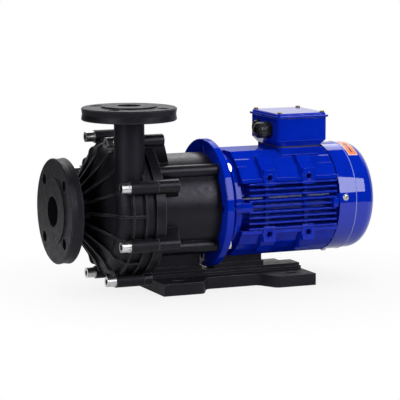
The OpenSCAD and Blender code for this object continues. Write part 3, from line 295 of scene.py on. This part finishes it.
TURNED_STEEL = (0.50, 0.50, 0.51, 1.0)
TURNED_STEEL_DULL = (0.34, 0.34, 0.35, 1.0)
LAMINATION = (0.17, 0.17, 0.18, 1.0)
LAMINATION_DARK = (0.10, 0.095, 0.09, 1.0)
CAST_ALUMINIUM = (0.66, 0.66, 0.67, 1.0)
CAST_ALUMINIUM_DULL = (0.50, 0.50, 0.51, 1.0)

steel = bare_metal("turned_steel", TURNED_STEEL, TURNED_STEEL_DULL, roughness=0.30)
lamination = bare_metal("core_lamination", LAMINATION, LAMINATION_DARK, roughness=0.50)
aluminium = bare_metal("cast_aluminium", CAST_ALUMINIUM, CAST_ALUMINIUM_DULL, roughness=0.45)
dress(steel, "drive_yoke", "drive_key", "yoke_set_screw", "motor_shaft", "inner_yoke", "fan_clip")
dress(steel, "front_bearing_inner", "front_bearing_outer", "rear_bearing_inner", "rear_bearing_outer")
dress(lamination, "rotor_core", "stator_core")
dress(aluminium, "rotor_end_rings")

# Motor housing: the flange shield, the finned frame and the rear shield are
# aluminium castings, sprayed with a thick gloss enamel in royal blue that softens
# their edges and shows a slight orange peel. A rubber seal runs on the shaft.

BLUE = (0.0010, 0.0190, 0.400, 1.0)
BLUE_DEEP = (0.0008, 0.0140, 0.335, 1.0)
# Painted light at the bottom of deep gaps: a paler blue.
BLUE_PAINTED_GAP_LIGHT = (0.0120, 0.0380, 0.420, 1.0)
DEPTH_WAVES = 26.0
UNDERCOAT_WAVES = 90.0
UNDERCOAT_ROUGHNESS = (0.28, 0.38)
PEEL_WAVES = 300.0
COAT_ROUGHNESS = 0.03
# Painted light in deep gaps fades out where the openness reaches this.
GAP_LIGHT_END = 0.45


def enamel(name, colour, deep, gap_light, coat, peel, edge):
    """Sprayed gloss paint: a faint drift in depth of colour, a painted light that makes the bottom of deep
    gaps paler, under a clear, peeled coat that makes all of the gloss."""
    material, tree, shader = new_finish(name)
    normal = rounded_normal(tree, edge)
    openness = surface_masks(tree, normal)[1]
    drift = spread(tree, add_noise(tree, DEPTH_WAVES, 3.0), 0.0, 1.0)
    face_colour = blend_colours(tree, drift, colour, deep)
    # Painted light: the bottom of deep gaps is lightened towards the gap tone, as if light reached it.
    out_of_gap_light = spread(tree, openness, 0.0, 1.0, 0.0, GAP_LIGHT_END)
    tree.links.new(blend_colours(tree, out_of_gap_light, gap_light, face_colour), shader.inputs["Base Color"])
    undercoat = spread(tree, add_noise(tree, UNDERCOAT_WAVES), *UNDERCOAT_ROUGHNESS)
    tree.links.new(undercoat, shader.inputs["Roughness"])
    shader.inputs["Specular IOR Level"].default_value = 0.0
    shader.inputs["Coat Weight"].default_value = coat
    shader.inputs["Coat Roughness"].default_value = COAT_ROUGHNESS
    relief(tree, shader, normal, [(add_noise(tree, PEEL_WAVES, 1.0), peel)])
    return material


cast_enamel = enamel(
    "blue_enamel_on_casting", BLUE, BLUE_DEEP, BLUE_PAINTED_GAP_LIGHT, coat=0.4, peel=0.05 * MM, edge=1.2 * MM)
dress(cast_enamel, "motor_flange_shield", "stator_frame", "rear_end_shield")
dress(rubber, "shaft_seal")

# Rims of the foot pads: a low rounded bead that the mould leaves round each of the
# eight tapped holes. It is part of the frame casting and is sprayed with it.

PAD_X = (47 * MM, 114 * MM)
PAD_FACE_Y = 80 * MM
PAD_Z = (86 * MM, 174 * MM)
RIM_RADIUS = 5.8 * MM
RIM_BEAD = 1.2 * MM
SEAM_REACH = 0.0001 * MM


def grid_piece(name, points, uv):
    """A mesh on one or more grids of points (..., rows, columns, 3), with the uv of each grid point.
    Rows or columns that come back to their start are joined there."""
    index = np.arange(points[..., 0].size).reshape(points.shape[:-1])
    corners = [index[..., :-1, :-1], index[..., :-1, 1:], index[..., 1:, 1:], index[..., 1:, :-1]]
    quads = np.stack(corners, axis=-1).reshape(-1, 4)
    mesh = bpy.data.meshes.new(name)
    mesh.from_pydata(points.reshape(-1, 3), [], quads)
    mesh.polygons.foreach_set("use_smooth", np.ones(len(quads), dtype=bool))
    layer = mesh.uv_layers.new(name="UVMap")
    layer.data.foreach_set("uv", uv.reshape(-1, 2)[quads.reshape(-1)].reshape(-1))
    joined = bmesh.new()
    joined.from_mesh(mesh)
    bmesh.ops.remove_doubles(joined, verts=joined.verts, dist=SEAM_REACH)
    joined.to_mesh(mesh)
    joined.free()
    piece = bpy.data.objects.new(name, mesh)
    bpy.context.scene.collection.objects.link(piece)
    return piece


def two_turns(rows, columns):
    """A grid of two angles, each over a full turn: the turn along a ring, and the rise round its bead."""
    turn = np.linspace(0, 2 * np.pi, rows)
    rise = np.linspace(0, 2 * np.pi, columns)
    return np.meshgrid(turn, rise, indexing="ij")


def rim_beads(centres, sides, radius, bead, rows=33, columns=17):
    """Round beads, half sunk in the pad faces: the turn goes round each hole at the radius, and the
    rise goes round the bead, with the height out along the side's own y."""
    turn, rise = two_turns(rows, columns)
    reach = radius + bead * np.cos(rise)
    side = sides[:, None, None]
    x = side * reach * np.cos(turn)
    y = side * bead * np.sin(rise)
    z = np.broadcast_to(reach * np.sin(turn), x.shape)
    ring = np.stack([x, y, z], axis=-1)
    uv = np.stack([turn, rise], axis=-1) / (2 * np.pi)
    return centres[:, None, None, :] + ring, np.broadcast_to(uv, ring.shape[:-1] + (2,))


pad_sides = np.repeat([-1.0, 1.0], 4)
pad_heights = np.tile(np.repeat(PAD_Z, 2), 2)
pad_centres = np.stack([np.tile(PAD_X, 4), pad_sides * PAD_FACE_Y, pad_heights], axis=-1)
pad_rims = grid_piece("foot_pad_rims", *rim_beads(pad_centres, pad_sides, RIM_RADIUS, RIM_BEAD))
pad_rims.data.materials.append(cast_enamel)
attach(pad_rims, "pump_frame")

# Motor bolts: zinc plated hexagon bolts hold the flange to the bracket, and zinc
# plated socket screws hold the shields to the frame.

ZINC = (0.78, 0.78, 0.76, 1.0)
ZINC_DULL = (0.60, 0.60, 0.58, 1.0)

zinc = bare_metal("bright_zinc", ZINC, ZINC_DULL, roughness=0.28)
dress(zinc, "flange_bolts", "flange_washers", "front_shield_bolts", "rear_shield_bolts")

# Stator: coils of varnished copper wire in the slots of the laminated core, which is
# pressed in the frame. The bundles of wire show as a coarse, uneven relief.

COPPER = (0.55, 0.22, 0.09, 1.0)
COPPER_DARK = (0.34, 0.11, 0.04, 1.0)

copper = bare_metal(
    "enamelled_copper", COPPER, COPPER_DARK, roughness=0.32, waves=420.0, height=0.2 * MM)
dress(copper, "stator_windings")

# Fan and cowl: a black nylon fan on the shaft end, under a cowl pressed from
# sheet steel with a rolled step, painted in the same blue, smoother than the
# castings, with a painted highlight on the step's bead. Four screws hold it to the lugs.

NYLON = (0.0080, 0.0080, 0.0085, 1.0)
NYLON_SHADE = (0.0150, 0.0150, 0.0160, 1.0)
# Painted highlight on the rolled step: pale blues for its bead.
BLUE_STEP_HIGHLIGHT = (0.170, 0.240, 0.600, 1.0)
BLUE_STEP_HIGHLIGHT_DEEP = (0.110, 0.170, 0.540, 1.0)
STEP_FROM_EDGE = 29 * MM
STEP_BEAD = 1.0 * MM


def cowl_bead(low, high, from_edge, bead, rows=145, columns=17):
    """The rolled edge of the cowl's step: the turn goes round the shaft, and the rise goes round a bead
    that stands half its size over the cowl, at a distance from the cowl's open edge."""
    turn, rise = two_turns(rows, columns)
    centre = (low + high) / 2
    radius = (high.y - low.y) / 2 - bead / 2 + bead * np.sin(rise)
    x = low.x + from_edge - bead * np.cos(rise)
    points = np.stack([x, centre.y - radius * np.cos(turn), centre.z + radius * np.sin(turn)], axis=-1)
    return points, np.stack([turn, rise], axis=-1) / (2 * np.pi)


sheet_enamel = enamel(
    "blue_enamel_on_sheet", BLUE, BLUE_DEEP, BLUE_PAINTED_GAP_LIGHT, coat=1.0, peel=0.01 * MM, edge=1.0 * MM)
nylon = moulded_plastic(
    "black_nylon", NYLON, NYLON_SHADE, BLACK_EDGE_HIGHLIGHT, roughness=0.28, grain=0.01 * MM, edge=0.5 * MM)
# Painted highlight: the step's bead is painted pale, where light catches the rolled edge.
step_highlight_enamel = enamel(
    "blue_enamel_painted_step_highlight", BLUE_STEP_HIGHLIGHT, BLUE_STEP_HIGHLIGHT_DEEP, BLUE_STEP_HIGHLIGHT,
    coat=1.0, peel=0.01 * MM, edge=0.3 * MM)
dress(sheet_enamel, "fan_cowl")
dress(nylon, "cooling_fan")
dress(zinc, "cowl_screws")
step_bead = grid_piece("cowl_step_bead", *cowl_bead(*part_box("fan_cowl"), STEP_FROM_EDGE, STEP_BEAD))
step_bead.data.materials.append(step_highlight_enamel)
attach(step_bead, "pump_frame")

# Terminal box: a die-cast box and lid in the motor's blue, on a dark sheet gasket,
# with four small brass screws through the lid. Inside is a block with six studs.

GASKET = (0.020, 0.020, 0.026, 1.0)
GASKET_PALE = (0.034, 0.034, 0.042, 1.0)
BRASS = (0.50, 0.38, 0.16, 1.0)
BRASS_DULL = (0.26, 0.19, 0.08, 1.0)

box_enamel = enamel(
    "blue_enamel_on_box", BLUE, BLUE_DEEP, BLUE_PAINTED_GAP_LIGHT, coat=1.0, peel=0.02 * MM, edge=1.0 * MM)
gasket = moulded_plastic(
    "dark_gasket", GASKET, GASKET_PALE, GASKET_PALE, roughness=0.70, edge=0.3 * MM)
brass = bare_metal("plain_brass", BRASS, BRASS_DULL, roughness=0.34)
dress(box_enamel, "terminal_box", "terminal_box_lid")
dress(gasket, "box_gasket")
dress(rubber, "lid_gasket")
dress(brass, "lid_screws", "terminal_studs")
dress(nylon, "terminal_block")

# Cable gland and blanking plug: glossy black polyamide, screwed in the two
# entries of the box. The gland's nut squeezes a rubber seal, and no cable is in it.

dress(nylon, "gland_body", "gland_nut", "gland_locknut", "blanking_plug")
dress(rubber, "gland_seal")

# Rotation sticker: an orange paper label stuck round the cowl behind its step,
# with a pale border and a plain arrow that shows which way the motor turns.

STICKER_X = (199 * MM, 215 * MM)
STICKER_TURN = (radians(54.0), radians(88.0))
STICKER_LIFT = 0.15 * MM
STICKER_ROUGHNESS = 0.35
STICKER_WAVES = 300.0
COWL_STEP = 1 * MM
COWL_ROUND = 23 * MM
ORANGE = (0.66, 0.14, 0.045, 1.0)
ORANGE_FADED = (0.74, 0.23, 0.10, 1.0)
LABEL_PALE = (0.86, 0.66, 0.58, 1.0)
LABEL_INK = (0.10, 0.030, 0.020, 1.0)
BORDER_ACROSS = 0.43
BORDER_ALONG = 0.477
ARROW_SHAFT = (0.16, 0.62)
ARROW_SHAFT_HALF = 0.09
ARROW_HEAD = (0.60, 0.86)
ARROW_HEAD_HALF = 0.27


def cowl_patch(x_span, turn_span, low, high, lift, rows=32, columns=12):
    """A patch of the cowl between the corners of its box: x runs along the shaft, and the turn runs up
    the near side. The radius is the cowl's behind its step, and past the start of the rounded end it
    drops as a circle does, by the round less the root of the round squared less the overrun squared."""
    turn, x = np.meshgrid(np.linspace(*turn_span, rows), np.linspace(*x_span, columns), indexing="ij")
    overrun = np.maximum(0.0, x - (high.x - COWL_ROUND))
    drop = COWL_ROUND - np.sqrt(COWL_ROUND ** 2 - overrun ** 2)
    radius = (high.y - low.y) / 2 - COWL_STEP - drop + lift
    centre = (low + high) / 2
    points = np.stack([x, centre.y - radius * np.cos(turn), centre.z + radius * np.sin(turn)], axis=-1)
    across, along = np.meshgrid(np.linspace(0, 1, columns), np.linspace(0, 1, rows))
    return points, np.stack([across, along], axis=-1)


def from_middle(tree, socket):
    """How far a coordinate that runs from 0 to 1 lies from its middle."""
    return combine(tree, "ABSOLUTE", combine(tree, "SUBTRACT", socket, 0.5), 0.0)


def arrow_mask(tree, across, along):
    """1 inside an arrow up the label: a straight shaft, then a head that narrows to its tip."""
    in_width = combine(tree, "LESS_THAN", across, ARROW_SHAFT_HALF)
    past_tail = combine(tree, "GREATER_THAN", along, ARROW_SHAFT[0])
    before_end = combine(tree, "LESS_THAN", along, ARROW_SHAFT[1])
    shaft = combine(tree, "MULTIPLY", combine(tree, "MULTIPLY", in_width, past_tail), before_end)
    narrowing = spread(tree, along, ARROW_HEAD_HALF, 0.0, *ARROW_HEAD)
    in_head = combine(tree, "LESS_THAN", across, narrowing)
    past_neck = combine(tree, "GREATER_THAN", along, ARROW_HEAD[0])
    return combine(tree, "MAXIMUM", shaft, combine(tree, "MULTIPLY", in_head, past_neck))


sticker = grid_piece("rotation_sticker", *cowl_patch(
    STICKER_X, STICKER_TURN, *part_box("fan_cowl"), STICKER_LIFT))
sticker_print, sticker_tree, sticker_shader = new_finish("orange_label")
sticker_uv = sticker_tree.nodes.new("ShaderNodeTexCoord")
sticker_axes = sticker_tree.nodes.new("ShaderNodeSeparateXYZ")
sticker_tree.links.new(sticker_uv.outputs["UV"], sticker_axes.inputs["Vector"])
label_across = from_middle(sticker_tree, sticker_axes.outputs["X"])
label_along = from_middle(sticker_tree, sticker_axes.outputs["Y"])
border_sides = combine(sticker_tree, "GREATER_THAN", label_across, BORDER_ACROSS)
border_ends = combine(sticker_tree, "GREATER_THAN", label_along, BORDER_ALONG)
border = combine(sticker_tree, "MAXIMUM", border_sides, border_ends)
sticker_tone = spread(sticker_tree, add_noise(sticker_tree, STICKER_WAVES, 3.0), 0.0, 1.0)
sticker_field = blend_colours(sticker_tree, sticker_tone, ORANGE, ORANGE_FADED)
arrow = arrow_mask(sticker_tree, label_across, sticker_axes.outputs["Y"])
sticker_drawn = blend_colours(sticker_tree, arrow, sticker_field, LABEL_INK)
sticker_colour = blend_colours(sticker_tree, border, sticker_drawn, LABEL_PALE)
sticker_tree.links.new(sticker_colour, sticker_shader.inputs["Base Color"])
sticker_shader.inputs["Roughness"].default_value = STICKER_ROUGHNESS
sticker.data.materials.append(sticker_print)
sticker.modifiers.new("paper", "SOLIDIFY").thickness = STICKER_LIFT
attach(sticker, "pump_frame")

# Studio floor: a round sheet of pale paper under the pump. For the camera and in
# reflections it turns to plain white away from the pump, so that no edge shows.

FLOOR_START = 1 * MM
FLOOR_RADIUS = 0.95
FLOOR_ROWS = 97
FLOOR_COLUMNS = 24
FLOOR_PALE = (0.50, 0.50, 0.50, 1.0)
FLOOR_ROUGHNESS = 0.9
FADE_FROM = 0.15
FADE_TO = 0.45
FADE_LEAST = 0.84
MIRROR_LEAST = 0.25

floor_turns = np.linspace(0, 2 * np.pi, FLOOR_ROWS)
floor_reaches = np.linspace(FLOOR_START, FLOOR_RADIUS, FLOOR_COLUMNS)
turn, reach = np.meshgrid(floor_turns, floor_reaches, indexing="ij")
floor_points = np.stack([reach * np.cos(turn), reach * np.sin(turn), np.zeros_like(turn)], axis=-1)
floor = grid_piece("paper_floor", floor_points, np.stack([turn, reach], axis=-1))
paper, paper_tree, paper_shader = new_finish("white_paper")
paper_shader.inputs["Base Color"].default_value = FLOOR_PALE
paper_shader.inputs["Roughness"].default_value = FLOOR_ROUGHNESS
paper_place = paper_tree.nodes.new("ShaderNodeTexCoord")
paper_reach = paper_tree.nodes.new("ShaderNodeVectorMath")
paper_reach.operation = "LENGTH"
paper_tree.links.new(paper_place.outputs["Object"], paper_reach.inputs[0])
paper_path = paper_tree.nodes.new("ShaderNodeLightPath")
fade, mirror_fade = [
    spread(paper_tree, paper_reach.outputs["Value"], least, 1.0, FADE_FROM, FADE_TO)
    for least in (FADE_LEAST, MIRROR_LEAST)
]
mirrored_floor = combine(
    paper_tree, "MAXIMUM", paper_path.outputs["Is Glossy Ray"], paper_path.outputs["Is Transmission Ray"])
camera_fade = combine(paper_tree, "MULTIPLY", fade, paper_path.outputs["Is Camera Ray"])
reflected_fade = combine(paper_tree, "MULTIPLY", mirror_fade, mirrored_floor)
fade_seen = combine(paper_tree, "MAXIMUM", camera_fade, reflected_fade)
white = paper_tree.nodes.new("ShaderNodeEmission")
white.inputs["Strength"].default_value = 1.0
paper_mix = paper_tree.nodes.new("ShaderNodeMixShader")
paper_tree.links.new(fade_seen, paper_mix.inputs["Fac"])
paper_tree.links.new(paper_shader.outputs["BSDF"], paper_mix.inputs[1])
paper_tree.links.new(white.outputs["Emission"], paper_mix.inputs[2])
paper_tree.links.new(paper_mix.outputs["Shader"], paper_tree.nodes["Material Output"].inputs["Surface"])
floor.data.materials.append(paper)

# Studio light: a dim room with a white backdrop behind the pump, one softbox in
# front on the right, one on the left and a panel behind. Two fills, to the right
# and overhead, show in no reflection.

ROOM_GREY = 0.10
BACKDROP_WHITE = 1.0
BACKDROP_DEPTH = (0.05, 0.45)
BACKDROP_TOP = (0.45, 0.75)
BACKDROP_LEFT = (-0.35, 0.10)
RIGHT_WHITE = 7.5
RIGHT_FILL_WHITE = 2.67
LEFT_WHITE = 6.6
PANEL_WHITE = 3.0
OVERHEAD_WHITE = 3.0


def choose(tree, condition, otherwise, value):
    """The value, a socket or number, where the condition is 1, and the otherwise where it is 0."""
    mix = tree.nodes.new("ShaderNodeMix")
    mix.data_type = "FLOAT"
    tree.links.new(condition, mix.inputs["Factor"])
    feed(tree, mix.inputs["A"], otherwise)
    feed(tree, mix.inputs["B"], value)
    return mix.outputs["Result"]


def softbox(name, place, target, size, radiance, mirrored_too):
    """A rectangular area light at a place, turned to face the target, with the radiance of its face."""
    lamp = bpy.data.lights.new(name, "AREA")
    lamp.shape = "RECTANGLE"
    lamp.size, lamp.size_y = size
    lamp.energy = radiance * np.pi * size[0] * size[1]
    light = bpy.data.objects.new(name, lamp)
    light.location = place
    light.rotation_euler = (Vector(target) - Vector(place)).to_track_quat("-Z", "Y").to_euler()
    light.visible_glossy = mirrored_too
    bpy.context.scene.collection.objects.link(light)


world = bpy.data.worlds.new("studio")
bpy.context.scene.world = world
world.use_nodes = True
sky = world.node_tree
background = sky.nodes["Background"]
background.inputs["Color"].default_value = (1.0, 1.0, 1.0, 1.0)
sky_path = sky.nodes.new("ShaderNodeLightPath")
sky_place = sky.nodes.new("ShaderNodeTexCoord")
sky_axes = sky.nodes.new("ShaderNodeSeparateXYZ")
sky.links.new(sky_place.outputs["Generated"], sky_axes.inputs["Vector"])
behind = spread(sky, sky_axes.outputs["Y"], 0.0, BACKDROP_WHITE, *BACKDROP_DEPTH)
low_down = spread(sky, sky_axes.outputs["Z"], 1.0, 0.0, *BACKDROP_TOP)
rightward = spread(sky, sky_axes.outputs["X"], 0.0, 1.0, *BACKDROP_LEFT)
backdrop = combine(sky, "MULTIPLY", combine(sky, "MULTIPLY", behind, low_down), rightward)
mirrored = combine(
    sky, "MAXIMUM", sky_path.outputs["Is Glossy Ray"], sky_path.outputs["Is Transmission Ray"])
room = choose(sky, mirrored, ROOM_GREY, backdrop)
seen_room = choose(sky, sky_path.outputs["Is Camera Ray"], room, BACKDROP_WHITE)
sky.links.new(seen_room, background.inputs["Strength"])

softbox("softbox_right", place=(0.728, -1.374, 0.93), target=(0.058, -0.074, 0.13),
        size=(0.58, 1.12), radiance=RIGHT_WHITE, mirrored_too=True)
softbox("fill_right", place=(0.87, -1.30, 0.93), target=(0.20, 0.0, 0.13),
        size=(0.9, 1.12), radiance=RIGHT_FILL_WHITE, mirrored_too=False)
softbox("softbox_left", place=(-2.0, -0.95, 0.8), target=(-0.12, 0.0, 0.15),
        size=(0.8, 1.1), radiance=LEFT_WHITE, mirrored_too=True)
softbox("panel_behind", place=(0.3, 1.6, 1.7), target=(0.0, 0.0, 0.1),
        size=(2.2, 1.1), radiance=PANEL_WHITE, mirrored_too=True)
softbox("fill_overhead", place=(0.0, 0.1, 2.0), target=(0.0, 0.0, 0.1),
        size=(2.2, 1.4), radiance=OVERHEAD_WHITE, mirrored_too=False)

# Camera: it stands off the near side towards the suction end, a little above the
# shaft. A long lens far away gives the slight perspective of the photograph.

VIEW_AZIMUTH = radians(-23.33)
VIEW_HEIGHT = radians(8.05)
VIEW_DISTANCE = 3.3255
LOOK_AT = Vector((-0.0362, 0.0, 0.134))
LENS_MM = 191.1
VIEW_END = 20.0

level = cos(VIEW_HEIGHT)
back = Vector((sin(VIEW_AZIMUTH) * level, -cos(VIEW_AZIMUTH) * level, sin(VIEW_HEIGHT)))
right = Vector((0.0, 0.0, 1.0)).cross(back).normalized()
up = back.cross(right)
lens = bpy.data.cameras.new("photo_camera")
lens.lens = LENS_MM
lens.clip_end = VIEW_END
camera = bpy.data.objects.new("photo_camera", lens)
turned = Matrix((right, up, back)).transposed().to_4x4()
camera.matrix_world = Matrix.Translation(LOOK_AT + back * VIEW_DISTANCE) @ turned
bpy.context.scene.collection.objects.link(camera)
bpy.context.scene.camera = camera
bpy.context.scene.view_settings.view_transform = "Standard"
